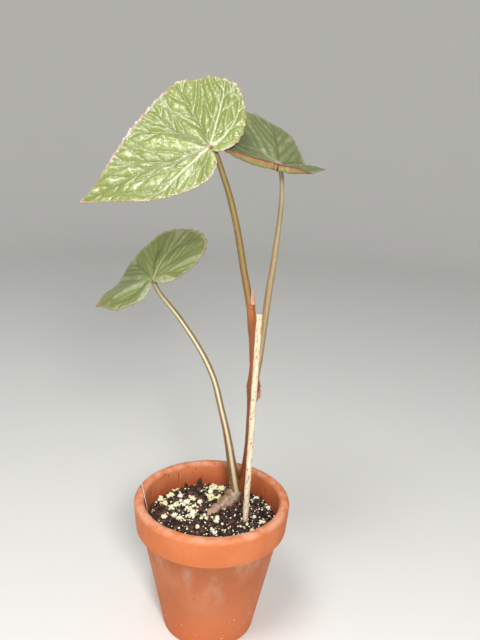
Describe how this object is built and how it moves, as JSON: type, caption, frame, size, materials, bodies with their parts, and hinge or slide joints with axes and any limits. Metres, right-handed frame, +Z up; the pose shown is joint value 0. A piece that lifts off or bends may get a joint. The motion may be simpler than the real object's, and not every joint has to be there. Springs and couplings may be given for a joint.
{
  "type": "potted begonia plant",
  "caption": "Young cane begonia with large oblique leaves on long stalks, growing from a knobby rhizome beside a thin stake in a round clay flower pot.",
  "frame": {"origin": "middle of the plant's outline box, on the surface that the pot stands on", "axes": "+Z up along the plant, and the pot's axis is vertical; the picture looks along +Y from slightly above, with +X to its right"},
  "size_m": [0.1506, 0.113, 0.3771],
  "materials": {
    "clay": "matte",
    "soil": "matte",
    "rhizome": "satin",
    "root": "matte",
    "cane": "satin",
    "petiole": "satin",
    "old_petiole": "satin",
    "stipule": "matte",
    "young_leaf": "gloss",
    "older_leaf": "satin",
    "bamboo": "satin",
    "label": "satin",
    "perlite": "matte",
    "bark": "matte"
  },
  "bodies": {
    "root": {"terracotta_pot": "clay", "potting_soil": "soil", "rhizome": "rhizome", "root_1": "root", "root_2": "root", "root_3": "root", "root_4": "root", "main_cane": "cane", "petiole_1": "petiole", "petiole_2": "petiole", "petiole_3": "old_petiole", "leaf_1": "young_leaf", "leaf_2": "older_leaf", "leaf_3": "older_leaf", "upper_stipule": "stipule", "node_stipule": "stipule", "bamboo_stake": "bamboo", "plant_label": "label", "perlite_grain_01": "perlite", "perlite_grain_02": "perlite", "perlite_grain_03": "perlite", "perlite_grain_04": "perlite", "perlite_grain_05": "perlite", "perlite_grain_06": "perlite", "perlite_grain_07": "perlite", "perlite_grain_08": "perlite", "perlite_grain_09": "perlite", "perlite_grain_10": "perlite", "perlite_grain_11": "perlite", "perlite_grain_12": "perlite", "perlite_grain_13": "perlite", "perlite_grain_14": "perlite", "perlite_grain_15": "perlite", "perlite_grain_16": "perlite", "bark_grain_01": "bark", "bark_grain_02": "bark", "bark_grain_03": "bark", "bark_grain_04": "bark", "bark_grain_05": "bark", "bark_grain_06": "bark", "bark_grain_07": "bark", "bark_grain_08": "bark", "bark_grain_09": "bark", "bark_grain_10": "bark"}
  },
  "joints": []
}
